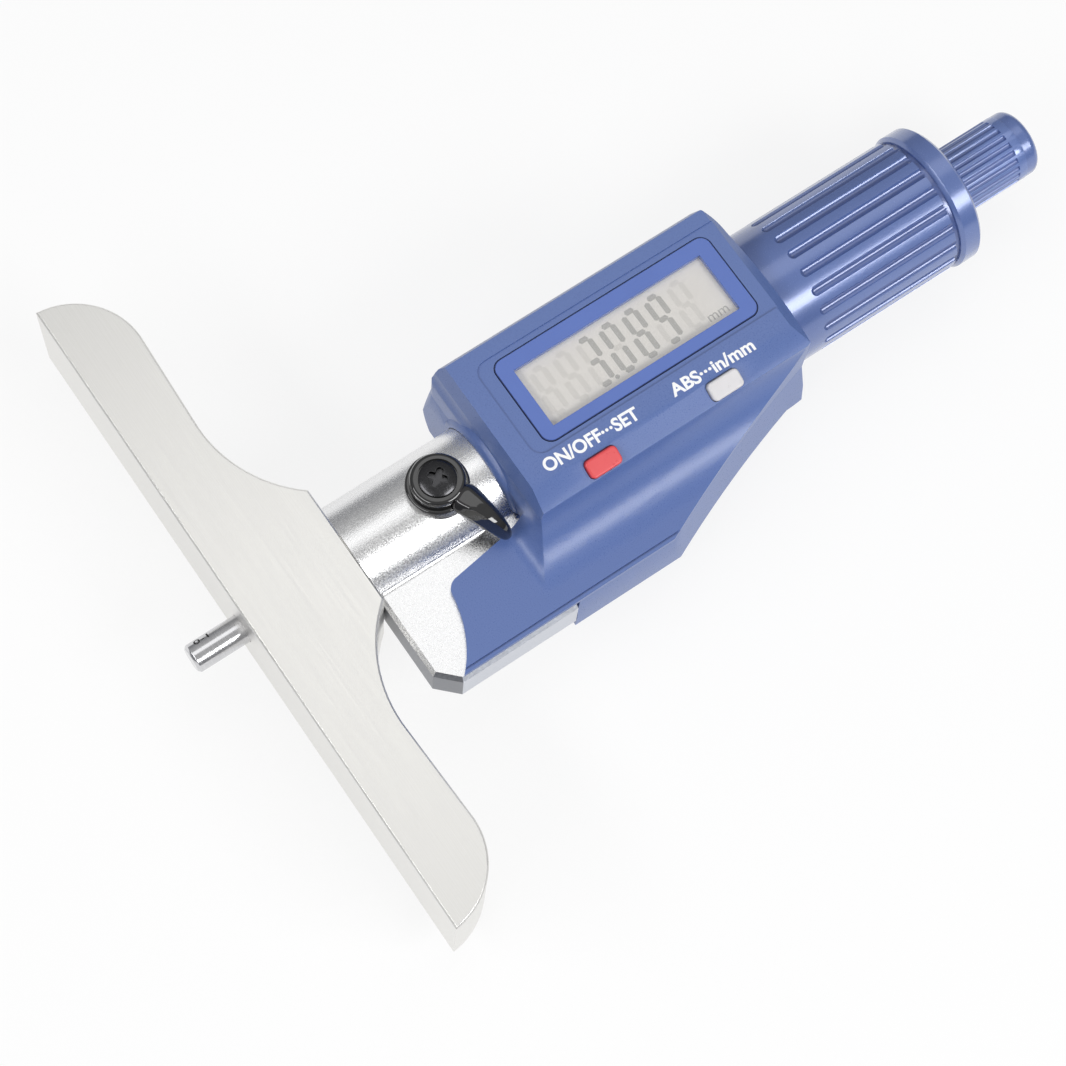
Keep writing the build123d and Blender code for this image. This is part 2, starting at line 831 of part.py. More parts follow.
def make_rear_cover():
    with BuildSketch(Plane.XZ) as cross:
        with BuildLine():
            right_x = -side_wall_x
            flat_x = right_x - back_round_width
            round_z = back_z + back_round_height
            radii = (back_round_width, back_round_height)
            left = EllipticalCenterArc((-flat_x, round_z), *radii, 180, arc_size=90)
            right = EllipticalCenterArc((flat_x, round_z), *radii, 270, arc_size=90)
            Line(left @ 1, right @ 0)
            Polyline(left @ 0, (side_wall_x, plate_top), (right_x, plate_top), right @ 1)
        make_face()
    with BuildSketch(Plane.YZ) as lengthwise:
        with BuildLine():
            Polyline(
                (plate_rear + case_gap, plate_top), (plate_rear + case_gap, back_z + back_end_drop),
                (plate_rear + back_end_run, back_z), (housing_rear - back_end_run, back_z),
                (housing_rear, back_z + back_end_drop), (housing_rear, plate_top), close=True,
            )
        make_face()
    drafted = extrude(rear_plan(), back_z - plate_top, taper=-rear_cover_draft)
    wing = block((0, plate_side), (0, far), (wing_back_z, plate_top))
    shell = drafted & (along(cross.sketch) + wing) & across(lengthwise.sketch)
    shell += arch_ring() & block((-far, far), (plate_rear + case_gap, far), (-far, plate_top))
    shell -= shaft_space()
    shell -= post(battery_radius + case_gap, battery_x, battery_y, battery_base, plate_top)
    shell -= post(cover_radius + case_gap, battery_x, battery_y, wing_back_z, battery_base)
    shell -= post(cover_radius + cover_relief, battery_x, battery_y, back_z, wing_back_z)
    shell -= contact_space(case_gap)
    for x, y, seat_z, _ in screw_places():
        shell -= post(screw_radius + case_gap, x, y, seat_z, plate_top)
        shell -= post(screw_head_radius + 2 * case_gap, x, y, back_z, seat_z)
    return shell


def make_housing_screws():
    screws = []
    for x, y, seat_z, tip_z in screw_places():
        head = post(screw_head_radius, x, y, seat_z - screw_head_height, seat_z)
        screws.append(head + post(screw_radius - seat_gap, x, y, seat_z, tip_z))
    return Compound(children=screws)


# Display, board, buttons and battery

def make_display_window():
    return extrude(Pos(0, 0, window_bottom) * window_outline(0), window_thickness)


def make_lcd_panel():
    return lcd_block(0, lcd_bottom, window_bottom)


def make_lcd_connector():
    return connector_block(0, board_top)


def make_circuit_board():
    return board_space(board_bottom, board_top, 0)


def make_key_switches():
    x = top_right + switch_inset
    top = board_top + switch_height
    places = (power_button_y, mode_button_y)
    return Compound(children=[post(switch_radius, x, y, board_top, top) for y in places])


def make_button(y):
    face = button_plane(y) * RectangleRounded(button_length, button_width, button_round)
    cap = extrude(face, button_proud) + extrude(face, -button_depth)
    outward = Axis((0, 0, 0), (strip_drop, 0, strip_run))
    return fillet(cap.faces().sort_by(outward)[-1].edges(), button_edge)


def make_battery():
    cell = post(battery_radius, battery_x, battery_y, battery_base, battery_base + battery_height)
    return fillet(cell.edges().group_by(Axis.Z)[0], contact_thickness)


def make_battery_contact():
    return contact_space(0)


def make_battery_cover():
    cover = post(cover_radius, battery_x, battery_y, wing_back_z, battery_base - seat_gap)
    half = cover_slot_width / 2
    slot_x = (battery_x - cover_radius + cover_slot_width, battery_x + cover_radius - cover_slot_width)
    slot_z = (wing_back_z, wing_back_z + cover_slot_depth)
    return cover - block(slot_x, (battery_y - half, battery_y + half), slot_z)


# Lock

def make_lock_collar():
    collar = post(lock_collar_radius, 0, lock_y, spindle_radius, lock_collar_top)
    collar = fillet(collar.edges().group_by(Axis.Z)[-1], lock_recess_depth)
    collar -= post(lock_stud_radius + running_gap, 0, lock_y, 0, lock_collar_top)
    return collar - rod_between(barrel_radius + seat_gap, 0, barrel_rear)


def make_lock_shoe():
    shoe = post(lock_shoe_radius, 0, lock_y, 0, lock_stud_bottom - running_gap)
    return shoe - rod_between(spindle_radius + running_gap, 0, barrel_rear)


def make_lock_stud():
    stud = post(lock_stud_radius, 0, lock_y, lock_stud_bottom, lock_lever_bottom)
    bore_top = lock_hub_top - lock_recess_depth
    bore_radius = lock_screw_shank_radius + seat_gap
    return stud - post(bore_radius, 0, lock_y, bore_top - lock_screw_shank_length, bore_top)


def make_lock_lever():
    hub = post(lock_hub_radius, 0, lock_y, lock_lever_bottom, lock_hub_top)
    tip_z = lock_hub_top - lever_tip_drop
    foot_z = tip_z - lever_tip_depth
    with BuildSketch(Plane.XY.offset(foot_z)) as plan:
        with BuildLine():
            half_root = lever_root_width / 2
            half_tip = lever_tip_width / 2
            Polyline(
                (0, -half_root), (lever_length, -half_tip), (lever_length, half_tip), (0, half_root),
                close=True,
            )
        make_face()
    start = lock_collar_radius + moving_gap
    with BuildSketch(Plane.XZ) as side:
        with BuildLine():
            middle = ((start + lever_length) / 2, (lock_hub_top + tip_z) / 2 + lever_crown)
            top = ThreePointArc((0, lock_hub_top), middle, (lever_length, tip_z))
            Polyline(
                top @ 1, (lever_length, foot_z), (start, lock_lever_bottom),
                (0, lock_lever_bottom), (0, lock_hub_top),
            )
        make_face()
    arm = extrude(plan.sketch, lock_hub_top - foot_z, taper=lever_draft) & along(side.sketch)
    arm = Pos(0, lock_y, 0) * Rot(0, 0, lever_angle) * arm
    lever = hub + arm
    seat = lock_hub_top - lock_recess_depth
    lever -= post(lock_screw_head_radius + case_gap, 0, lock_y, seat, seat + lever_tip_drop)
    return lever - post(lock_screw_shank_radius + seat_gap, 0, lock_y, lock_lever_bottom, lock_hub_top)


def make_lock_screw():
    seat = lock_hub_top - lock_recess_depth
    head = post(lock_screw_head_radius, 0, lock_y, seat, seat + lock_screw_head_height)
    head = fillet(head.edges().group_by(Axis.Z)[-1], lock_recess_depth)
    return head + post(lock_screw_shank_radius, 0, lock_y, seat - lock_screw_shank_length, seat)


def make_all():
    return {
        "base": make_base(),
        "frame": make_frame(),
        "inner_sleeve": make_inner_sleeve(),
        "spindle_nut": make_spindle_nut(),
        "adjusting_nut": make_adjusting_nut(),
        "encoder_stator": make_encoder_stator(),
        "encoder_rotor": make_encoder_rotor(),
        "rotor_bush": make_rotor_bush(),
        "thrust_washer": make_thrust_washer(),
        "spindle": make_spindle(),
        "measuring_rod": make_measuring_rod(),
        "rod_nuts": make_rod_nuts(),
        "thimble": make_thimble(),
        "spindle_cap": make_spindle_cap(),
        "ratchet_screw": make_ratchet_screw(),
        "ratchet_knob": make_ratchet_knob(),
        "ratchet_cap": make_ratchet_cap(),
        "ratchet_disc": make_ratchet_disc(),
        "ratchet_spring": make_ratchet_spring(),
        "front_housing": make_front_housing(),
        "rear_cover": make_rear_cover(),
        "housing_screws": make_housing_screws(),
        "display_window": make_display_window(),
        "lcd_panel": make_lcd_panel(),
        "lcd_connector": make_lcd_connector(),
        "circuit_board": make_circuit_board(),
        "key_switches": make_key_switches(),
        "power_button": make_button(power_button_y),
        "mode_button": make_button(mode_button_y),
        "battery": make_battery(),
        "battery_contact": make_battery_contact(),
        "battery_cover": make_battery_cover(),
        "lock_collar": make_lock_collar(),
        "lock_shoe": make_lock_shoe(),
        "lock_stud": make_lock_stud(),
        "lock_lever": make_lock_lever(),
        "lock_screw": make_lock_screw(),
    }


os.makedirs("parts", exist_ok=True)
for node, solid in make_all().items():
    export_step(solid, f"parts/{node}.step")
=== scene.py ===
"""Digital depth micrometer, lying on its back: looks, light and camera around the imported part."""
import json
import math

import bpy
from mathutils import Matrix, Vector


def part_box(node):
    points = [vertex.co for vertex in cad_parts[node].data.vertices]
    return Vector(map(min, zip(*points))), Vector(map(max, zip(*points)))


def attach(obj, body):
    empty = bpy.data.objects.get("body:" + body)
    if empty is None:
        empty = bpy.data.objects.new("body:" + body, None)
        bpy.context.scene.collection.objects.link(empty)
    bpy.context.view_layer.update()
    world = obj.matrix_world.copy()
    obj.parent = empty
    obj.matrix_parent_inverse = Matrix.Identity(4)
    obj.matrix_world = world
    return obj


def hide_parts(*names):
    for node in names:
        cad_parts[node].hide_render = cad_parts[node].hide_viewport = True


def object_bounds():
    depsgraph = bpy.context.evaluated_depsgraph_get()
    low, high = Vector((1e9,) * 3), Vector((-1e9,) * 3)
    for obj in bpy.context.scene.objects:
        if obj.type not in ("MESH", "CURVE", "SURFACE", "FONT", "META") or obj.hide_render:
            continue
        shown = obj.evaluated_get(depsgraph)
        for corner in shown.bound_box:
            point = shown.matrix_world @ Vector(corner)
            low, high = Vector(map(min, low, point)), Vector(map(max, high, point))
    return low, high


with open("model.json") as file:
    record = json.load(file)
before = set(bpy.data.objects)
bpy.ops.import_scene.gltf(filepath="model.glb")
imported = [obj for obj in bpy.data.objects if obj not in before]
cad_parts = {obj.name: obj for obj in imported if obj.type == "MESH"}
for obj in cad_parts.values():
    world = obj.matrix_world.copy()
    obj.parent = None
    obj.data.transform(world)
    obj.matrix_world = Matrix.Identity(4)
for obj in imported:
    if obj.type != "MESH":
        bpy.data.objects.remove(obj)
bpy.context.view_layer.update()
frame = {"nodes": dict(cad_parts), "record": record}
MM = 0.001
# Points closer than this, in metres, are one point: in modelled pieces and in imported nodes.
SAME_POINT = 1e-7
SAME_PACKED_POINT = 2e-6
# Places along one axis closer than this, in metres, are one place.
SAME_PLACE = 1e-6
# A face looks along an axis when its normal has more than this on it.
FACING = 0.9
# Place of the lock along the spindle's axis, in mm.
LOCK_Y = 31.3


# Working by hand: selection, edit mode and modifiers

def deselect():
    """Leaves edit mode and selects nothing."""
    if bpy.context.mode != "OBJECT":
        bpy.ops.object.mode_set(mode="OBJECT")
    bpy.ops.object.select_all(action="DESELECT")


def activate(piece):
    """Makes one piece the only selected and active one."""
    deselect()
    piece.select_set(True)
    bpy.context.view_layer.objects.active = piece


def edit(piece, mode="FACE"):
    """Opens a piece in edit mode with nothing selected."""
    activate(piece)
    bpy.ops.object.mode_set(mode="EDIT")
    bpy.ops.mesh.select_mode(type=mode)
    bpy.ops.mesh.select_all(action="DESELECT")


def pick_faces(piece, wanted):
    """Selects the faces for which wanted(centre in mm, normal) holds."""
    bpy.ops.mesh.select_all(action="DESELECT")
    bpy.ops.object.mode_set(mode="OBJECT")
    for face in piece.data.polygons:
        face.select = wanted(face.center / MM, face.normal)
    bpy.ops.object.mode_set(mode="EDIT")


def apply_modifier(piece, kind, **settings):
    """Adds a modifier, sets it up and applies it."""
    activate(piece)
    bpy.ops.object.modifier_add(type=kind)
    modifier = piece.modifiers[-1]
    for name, value in settings.items():
        setattr(modifier, name, value)
    bpy.ops.object.modifier_apply(modifier=modifier.name)


def smooth(piece, angle=35):
    """Smooth shading, apart from edges sharper than an angle in degrees."""
    activate(piece)
    bpy.ops.object.shade_smooth_by_angle(angle=math.radians(angle))


def round_edges(piece, width, segments=3, angle=28):
    """Breaks the sharp edges, width in mm, and shades the piece smooth.

    The guard against overlaps narrows the break on a piece with very short edges.
    """
    apply_modifier(
        piece, "BEVEL", width=width * MM, segments=segments, limit_method="ANGLE",
        angle_limit=math.radians(angle), harden_normals=False, use_clamp_overlap=True,
        miter_outer="MITER_ARC",
    )
    smooth(piece)
    apply_modifier(piece, "WEIGHTED_NORMAL", keep_sharp=True, weight=80)


def settle(piece):
    """Puts a piece's place into its mesh, so that its object sits at the origin."""
    activate(piece)
    bpy.ops.object.transform_apply(location=True, rotation=True, scale=True)


def recalculate(piece):
    """Merges double points and turns every face outwards."""
    edit(piece)
    bpy.ops.mesh.select_all(action="SELECT")
    bpy.ops.mesh.remove_doubles(threshold=SAME_POINT)
    bpy.ops.mesh.normals_make_consistent(inside=False)
    bpy.ops.object.mode_set(mode="OBJECT")


def copy_of(node, name):
    """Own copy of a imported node, its loose triangles merged into whole faces."""
    piece = bpy.data.objects.new(name, frame["nodes"][node].data.copy())
    bpy.context.scene.collection.objects.link(piece)
    activate(piece)
    bpy.ops.mesh.customdata_custom_splitnormals_clear()
    edit(piece)
    bpy.ops.mesh.select_all(action="SELECT")
    bpy.ops.mesh.remove_doubles(threshold=SAME_PACKED_POINT)
    flat_within = math.radians(0.4)
    bpy.ops.mesh.dissolve_limited(angle_limit=flat_within)
    bpy.ops.object.mode_set(mode="OBJECT")
    return piece


def add_box(name, low, high):
    """Cube primitive brought to a box between two corners, in metres."""
    deselect()
    middle = (Vector(low) + Vector(high)) / 2
    bpy.ops.mesh.primitive_cube_add(size=1.0, location=middle)
    piece = bpy.context.object
    piece.name = name
    piece.scale = Vector(high) - Vector(low)
    settle(piece)
    return piece


def cut(piece, cutter):
    """Cuts one piece out of another and deletes the cutter."""
    apply_modifier(piece, "BOOLEAN", operation="DIFFERENCE", solver="EXACT", object=cutter)
    bpy.data.objects.remove(cutter)


def join_pieces(pieces, name):
    """Joins pieces into one, with its place in its mesh."""
    activate(pieces[0])
    for piece in pieces:
        piece.select_set(True)
    bpy.ops.object.join()
    joined = bpy.context.object
    joined.name = name
    settle(joined)
    return joined


def round_upright_edges(piece, radius, segments=8):
    """Rounds the four upright edges of a box."""
    edit(piece, "EDGE")
    bpy.ops.object.mode_set(mode="OBJECT")
    points = piece.data.vertices
    for edge in piece.data.edges:
        first, second = (points[index].co for index in edge.vertices)
        edge.select = (first - second).xy.length < SAME_PLACE
    bpy.ops.object.mode_set(mode="EDIT")
    bpy.ops.mesh.bevel(offset=radius * MM, segments=segments, affect="EDGES")
    bpy.ops.object.mode_set(mode="OBJECT")


def finish_piece(piece, material, body, node=None):
    """Gives a piece its material and its body, and hides the node that it stands for."""
    piece.data.materials.clear()
    piece.data.materials.append(material)
    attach(piece, body)
    if node:
        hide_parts(node)


# Materials

def linear(code):
    """Linear colour of an sRGB hex code."""
    channels = [int(code[i:i + 2], 16) / 255 for i in (1, 3, 5)]
    return [c / 12.92 if c <= 0.04045 else ((c + 0.055) / 1.055) ** 2.4 for c in channels] + [1.0]


def add_node(tree, kind, settings=None, links=None):
    """Adds a node, sets its inputs and properties, and links its inputs to other nodes' outputs."""
    node = tree.nodes.new(kind)
    for name, value in (settings or {}).items():
        if isinstance(name, int) or name in node.inputs:
            node.inputs[name].default_value = value
        else:
            setattr(node, name, value)
    for name, source in (links or {}).items():
        tree.links.new(source, node.inputs[name])
    return node


def grained(name, colours, grain, roughness, relief=0.0, shine=None, stretch=(1, 1, 1), groove_painted_shade=None):
    """Material whose colour, roughness and relief follow one fine pattern; grain and relief in mm.

    Given a groove shade, painted shade darkens the colour between two radii in mm round the spindle's axis,
    most at the inner one, where the groove floors lie.
    """
    material = bpy.data.materials.new(name)
    material.use_nodes = True
    tree = material.node_tree
    tree.nodes.clear()
    place = add_node(tree, "ShaderNodeTexCoord").outputs["Object"]
    place = add_node(tree, "ShaderNodeMapping", {"Scale": stretch}, {"Vector": place}).outputs["Vector"]
    pattern = add_node(
        tree, "ShaderNodeTexNoise", {"Scale": 1 / (grain * MM), "Detail": 3.0, "Roughness": 0.6},
        {"Vector": place},
    ).outputs["Fac"]
    even = add_node(
        tree, "ShaderNodeMapRange", {"From Min": 0.3, "From Max": 0.7}, {"Value": pattern}
    ).outputs["Result"]
    low, high = (linear(code) for code in colours)
    colour = add_node(tree, "ShaderNodeMix", {"data_type": "RGBA", 6: low, 7: high}, {0: even}).outputs[2]
    # Painted shade: the colour darkens towards the groove floors, by radius round the axis.
    if groove_painted_shade:
        floor_radius, rim_radius, shade = groove_painted_shade
        flat = add_node(tree, "ShaderNodeMapping", {"Scale": (1, 0, 1)}, {"Vector": place}).outputs["Vector"]
        radius = add_node(tree, "ShaderNodeVectorMath", {"operation": "LENGTH"}, {0: flat}).outputs["Value"]
        span = {"From Min": floor_radius * MM, "From Max": rim_radius * MM}
        height = add_node(tree, "ShaderNodeMapRange", span, {"Value": radius}).outputs["Result"]
        settings = {"data_type": "RGBA", 6: linear(shade)}
        colour = add_node(tree, "ShaderNodeMix", settings, {0: height, 7: colour}).outputs[2]
    low, high = roughness
    rough = add_node(
        tree, "ShaderNodeMapRange", {"To Min": low, "To Max": high}, {"Value": even}
    ).outputs["Result"]
    links = {"Base Color": colour, "Roughness": rough}
    if relief:
        bump = add_node(
            tree, "ShaderNodeBump", {"Strength": 0.6, "Distance": relief * MM}, {"Height": pattern}
        )
        links["Normal"] = bump.outputs["Normal"]
    shader = add_node(tree, "ShaderNodeBsdfPrincipled", shine, links)
    add_node(tree, "ShaderNodeOutputMaterial", {}, {"Surface": shader.outputs["BSDF"]})
    return material


METAL = {"Metallic": 1.0}
ABS = {"IOR": 1.53}
ANODISED = {"Metallic": 0.15, "IOR": 1.7, "Coat Weight": 0.8, "Coat Roughness": 0.16}
materials = {
    # Hardened tool steel, surface ground along the base: pale satin with fine lengthwise grit marks.
    # Real grit marks are 0.02 mm apart; they are drawn 0.12 mm apart so that they show.
    "ground_steel": grained(
        "ground_tool_steel", ("#E9E8E4", "#F1F0ED"), 0.12, (0.32, 0.44), 0.003, METAL, (0.012, 1, 1)
    ),
    # Die-cast zinc, sand-blasted and chrome plated: bright satin that sparkles, with a grain of about 0.2 mm.
    "satin_chrome": grained("sand_blasted_chrome", ("#E2E2E3", "#FAFAFA"), 0.22, (0.20, 0.36), 0.045, METAL),
    # Hardened steel, centreless ground and lapped: bright, with very fine turning marks round the axis.
    "polished_steel": grained(
        "lapped_steel", ("#CFCFD1", "#DCDCDE"), 0.15, (0.12, 0.22), 0.002, METAL, (0.05, 1, 0.05)
    ),
    # Free-cutting brass, turned: warm yellow with fine turning marks.
    "brass": grained("turned_brass", ("#B8964B", "#CDB06A"), 0.3, (0.25, 0.4), 0.0, METAL),
    # ABS moulded in a spark-eroded tool: even blue with a fine matt grain of about 0.15 mm.
    "blue_plastic": grained("moulded_blue_abs", ("#546BA4", "#5E75AD"), 0.16, (0.26, 0.36), 0.010, ABS),
    # Turned aluminium, satin anodised blue and sealed: a pale sheen over the dye, very fine grain.
    "blue_anodised": grained(
        "satin_blue_anodised", ("#546BA6", "#5C73AE"), 0.12, (0.20, 0.28), 0.004, ANODISED
    ),
    # Polished acrylic pane: nearly invisible from the front.
    "clear_window": grained(
        "clear_acrylic", ("#F0F2F6", "#F8FAFC"), 4.0, (0.02, 0.05), 0.0, {"IOR": 1.49, "Alpha": 0.06}
    ),
    # Reflective liquid crystal cell: warm pale grey, slightly mottled by its reflector foil.
    "lcd_glass": grained("lcd_reflector", ("#D3CFC9", "#DAD6D0"), 0.35, (0.35, 0.5)),
    # Conductive rubber, moulded: matt near-black.
    "dark_rubber": grained("conductive_rubber", ("#161617", "#232324"), 0.4, (0.5, 0.7), 0.01),
    # Epoxy board under solder mask: deep green, slightly uneven gloss.
    "board_green": grained("solder_mask_green", ("#14502F", "#1C6039"), 0.8, (0.3, 0.5)),
    # Zinc casting in thick black stove enamel: deep gloss with a slight orange peel.
    "black_lacquer": grained(
        "black_stove_enamel", ("#08080A", "#101012"), 0.9, (0.05, 0.10), 0.004,
        {"IOR": 1.5, "Coat Weight": 1.0},
    ),
    # Moulded ABS keys: satin gloss with a trace of flow marks.
    "red_plastic": grained("moulded_red_abs", ("#DB474B", "#DF4B4F"), 1.2, (0.27, 0.30), 0.0, ABS),
    "white_plastic": grained("moulded_grey_white_abs", ("#D2D0D2", "#D6D4D6"), 1.2, (0.27, 0.30), 0.0, ABS),
    # Nickel plate on the cell and its contacts: bright, faintly brushed.
    "cell_steel": grained("bright_nickel", ("#C2C2BF", "#D2D2CF"), 0.5, (0.25, 0.4), 0.0, METAL),
}
# The same finish on the thimble and the knob, with painted shade darkening the floors of their grooves.
thimble_finish = grained(
    "anodised_thimble", ("#546BA6", "#5C73AE"), 0.12, (0.20, 0.28), 0.004, ANODISED,
    groove_painted_shade=(9.55, 10.12, "#40548F"),
)
knob_finish = grained(
    "anodised_knob", ("#5C74B0", "#647CB8"), 0.12, (0.20, 0.28), 0.004, ANODISED,
    groove_painted_shade=(4.6, 5.0, "#465A99"),
)
# Black-oxidised steel of the lock screw: dark grey metal that still mirrors softly.
black_oxide = grained("black_oxide_steel", ("#454547", "#4F4F51"), 0.3, (0.2, 0.3), 0.003, METAL)
# The casting's upright sides get painted shade: duller and greyer than the blasted top, standing for the
# dimmer light and reflections they get; the forward-facing ones, darker still, carry a painted shadow.
plate_side_shade = grained("casting_side_painted_shade", ("#CDD1DA", "#D9DCE4"), 0.3, (0.3, 0.42), 0.03, METAL)
plate_front_shadow = grained("casting_front_painted_shadow", ("#7E8086", "#8C8E94"), 0.3, (0.3, 0.42), 0.03, METAL)
# Pad print: opaque white ink, faintly uneven.
white_ink = grained("white_pad_print", ("#F4F4F6", "#FFFFFF"), 0.3, (0.4, 0.6))
# Etched and inked range number: flat near-black.
etched_ink = grained("etched_black", ("#121213", "#1E1E1F"), 0.2, (0.4, 0.6))
# Screen print behind the clear window: brighter blue under gloss.
border_print = grained(
    "screen_printed_blue", ("#4766B4", "#4B6AB8"), 5.0, (0.18, 0.24), 0.0,
    {"IOR": 1.49, "Coat Weight": 0.5, "Coat Roughness": 0.04},
)
# Painted shadow: a thin matt dark blue line round the window, standing for the shade in the gap round it.
gap_shadow_ink = grained("window_gap_painted_shadow", ("#26335C", "#2C3A66"), 0.3, (0.5, 0.7))
# Liquid crystal segments, on and idle: translucent grey on the reflector.
segment_ink = grained("lcd_segment", ("#A19F9A", "#A9A7A2"), 0.3, (0.35, 0.45))
ghost_ink = grained("lcd_idle_segment", ("#CAC6C0", "#CDC9C3"), 0.3, (0.35, 0.45))

body_of = {node: body for body, nodes in frame["record"]["behaviour"]["bodies"].items() for node in nodes}
slot_of = {row["node"]: row["material_slot"] for row in frame["record"]["subparts"]}
for node, shown in frame["nodes"].items():
    shown.data.materials.clear()
    shown.data.materials.append(materials[slot_of[node]])


# Shells, casting and turned parts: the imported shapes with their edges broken

# Widths in mm
edge_breaks = {
    "base": 0.04, "frame": 0.2, "front_housing": 0.16, "rear_cover": 0.4, "ratchet_knob": 0.08,
    "ratchet_cap": 0.05, "measuring_rod": 0.06, "spindle_cap": 0.15, "lock_collar": 0.2,
    "battery_cover": 0.15, "power_button": 0.12, "mode_button": 0.12,
}


def soften_arch(piece):
    """Rounds the rim of the arch that the barrel comes out of."""
    rim_radius, width = 8.9, 0.75
    radius_play, front_play = 0.04, 0.02 * MM
    edit(piece, "EDGE")
    bpy.ops.object.mode_set(mode="OBJECT")
    points = piece.data.vertices
    near = [abs(math.hypot(point.co.x, point.co.z) / MM - rim_radius) < radius_play for point in points]
    front = min(point.co.y for point, close in zip(points, near) if close)
    on_rim = [close and point.co.y < front + front_play for point, close in zip(points, near)]
    for edge in piece.data.edges:
        edge.select = all(on_rim[index] for index in edge.vertices)
    bpy.ops.object.mode_set(mode="EDIT")
    bpy.ops.mesh.bevel(offset=width * MM, segments=5, affect="EDGES")
    bpy.ops.object.mode_set(mode="OBJECT")


def shade_plate_sides(piece):
    """Gives the upright faces of the wing plate a duller material with painted shade, and a darker painted
    shadow on those facing forward.
    """
    low, high, barrel_side = -3.2, 3.0, 9.0
    upright, forward = 0.8, -0.5
    piece.data.materials.append(plate_side_shade)
    piece.data.materials.append(plate_front_shadow)
    for face in piece.data.polygons:
        middle, normal = face.center / MM, face.normal
        if low < middle.z < high and middle.x > barrel_side and abs(normal.z) < upright:
            face.material_index = 2 if normal.y < forward else 1


def score_lip(piece):
    """Cuts the thin line that sets off a lip along the deck's outer edge; deck is its height, all in mm."""
    low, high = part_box("front_housing")
    lip, line, depth, deck, beyond = 0.45, 0.26, 0.25, 4.0, 1.0
    near = (high.x - (lip + line) * MM, low.y - beyond * MM, (deck - depth) * MM)
    far = (high.x - lip * MM, high.y, (deck + beyond) * MM)
    cut(piece, add_box("lip_line", near, far))


for node, width in edge_breaks.items():
    piece = copy_of(node, node + "_body")
    if node == "front_housing":
        score_lip(piece)
        soften_arch(piece)
    round_edges(piece, width)
    finish = knob_finish if node == "ratchet_knob" else materials[slot_of[node]]
    finish_piece(piece, finish, body_of[node], node)
    if node == "frame":
        shade_plate_sides(piece)


# Thimble: a turned sleeve with round-bottomed grooves

def turn_steps(steps):
    """Draws the selected end face through steps, each a radius and a place along the axis, in mm."""
    radius, place = steps[0]
    for next_radius, next_place in steps[1:]:
        bpy.ops.mesh.extrude_region_move(TRANSFORM_OT_translate={"value": (0, (next_place - place) * MM, 0)})
        ratio = next_radius / radius
        bpy.ops.transform.resize(value=(ratio, 1, ratio), center_override=(0, next_place * MM, 0))
        radius, place = next_radius, next_place


def make_groove_cutter(scoop, length):
    """Capsule that stands on end: a ball of radius scoop whose upper half is drawn up, in mm."""
    deselect()
    bpy.ops.mesh.primitive_uv_sphere_add(segments=28, ring_count=14, radius=scoop * MM)
    cutter = bpy.context.object
    edit(cutter)
    pick_faces(cutter, lambda centre, normal: centre.z > 0)
    bpy.ops.transform.translate(value=(0, 0, length * MM))
    bpy.ops.object.mode_set(mode="OBJECT")
    return cutter


def make_thimble():
    """Sleeve drawn out into neck, collar and recesses, bored through and grooved; sizes in mm."""
    front, groove_front, groove_rear, rear = 72.9, 89.7, 113.0, 117.3
    radius, neck, shoulder, collar = 10.2, 9.7, 10.1, 10.6
    step, neck_rear, collar_front, collar_edge = 0.02, 113.8, 114.3, 0.5
    recess_radius, recess_floor, inside_radius, inside_floor = 7.1, 109.0, 9.0, 100.0
    bore_radius, bore_length, bore_middle = 4.62, 20.0, 104.5
    scoop, rise, count, first_turn = 0.85, 0.26, 21, -2.8
    edge_break = 0.26
    deselect()
    bpy.ops.mesh.primitive_cylinder_add(
        vertices=168, radius=radius * MM, depth=(groove_rear - front) * MM,
        location=(0, (front + groove_rear) / 2 * MM, 0), rotation=(math.pi / 2, 0, 0),
    )
    sleeve = bpy.context.object
    sleeve.name = "thimble_body"
    settle(sleeve)
    edit(sleeve)
    pick_faces(sleeve, lambda centre, normal: normal.y > FACING)
    turn_steps((
        (radius, groove_rear), (neck, groove_rear + step), (neck, neck_rear), (shoulder, neck_rear + step),
        (collar, collar_front), (collar, rear - collar_edge), (shoulder, rear), (recess_radius, rear),
        (recess_radius, recess_floor),
    ))
    pick_faces(sleeve, lambda centre, normal: normal.y < -FACING and centre.y < front + 1)
    turn_steps(((radius, front), (inside_radius, front), (inside_radius, inside_floor)))
    bpy.ops.object.mode_set(mode="OBJECT")
    recalculate(sleeve)
    deselect()
    bpy.ops.mesh.primitive_cylinder_add(
        vertices=64, radius=bore_radius * MM, depth=bore_length * MM, location=(0, bore_middle * MM, 0),
        rotation=(math.pi / 2, 0, 0),
    )
    bore = bpy.context.object
    settle(bore)
    cut(sleeve, bore)
    cutters = []
    reach = (radius + rise) * MM
    for index in range(count):
        cutter = make_groove_cutter(scoop, groove_rear - groove_front - scoop)
        turn = math.radians(first_turn + 360 * index / count)
        cutter.rotation_euler.x = -math.pi / 2
        cutter.location = (reach * math.sin(turn), (groove_front + scoop) * MM, reach * math.cos(turn))
        cutters.append(cutter)
    cut(sleeve, join_pieces(cutters, "grooves"))
    round_edges(sleeve, edge_break)
    finish_piece(sleeve, thimble_finish, body_of["thimble"], "thimble")


# Display: printed border, clear pane, liquid crystal figures

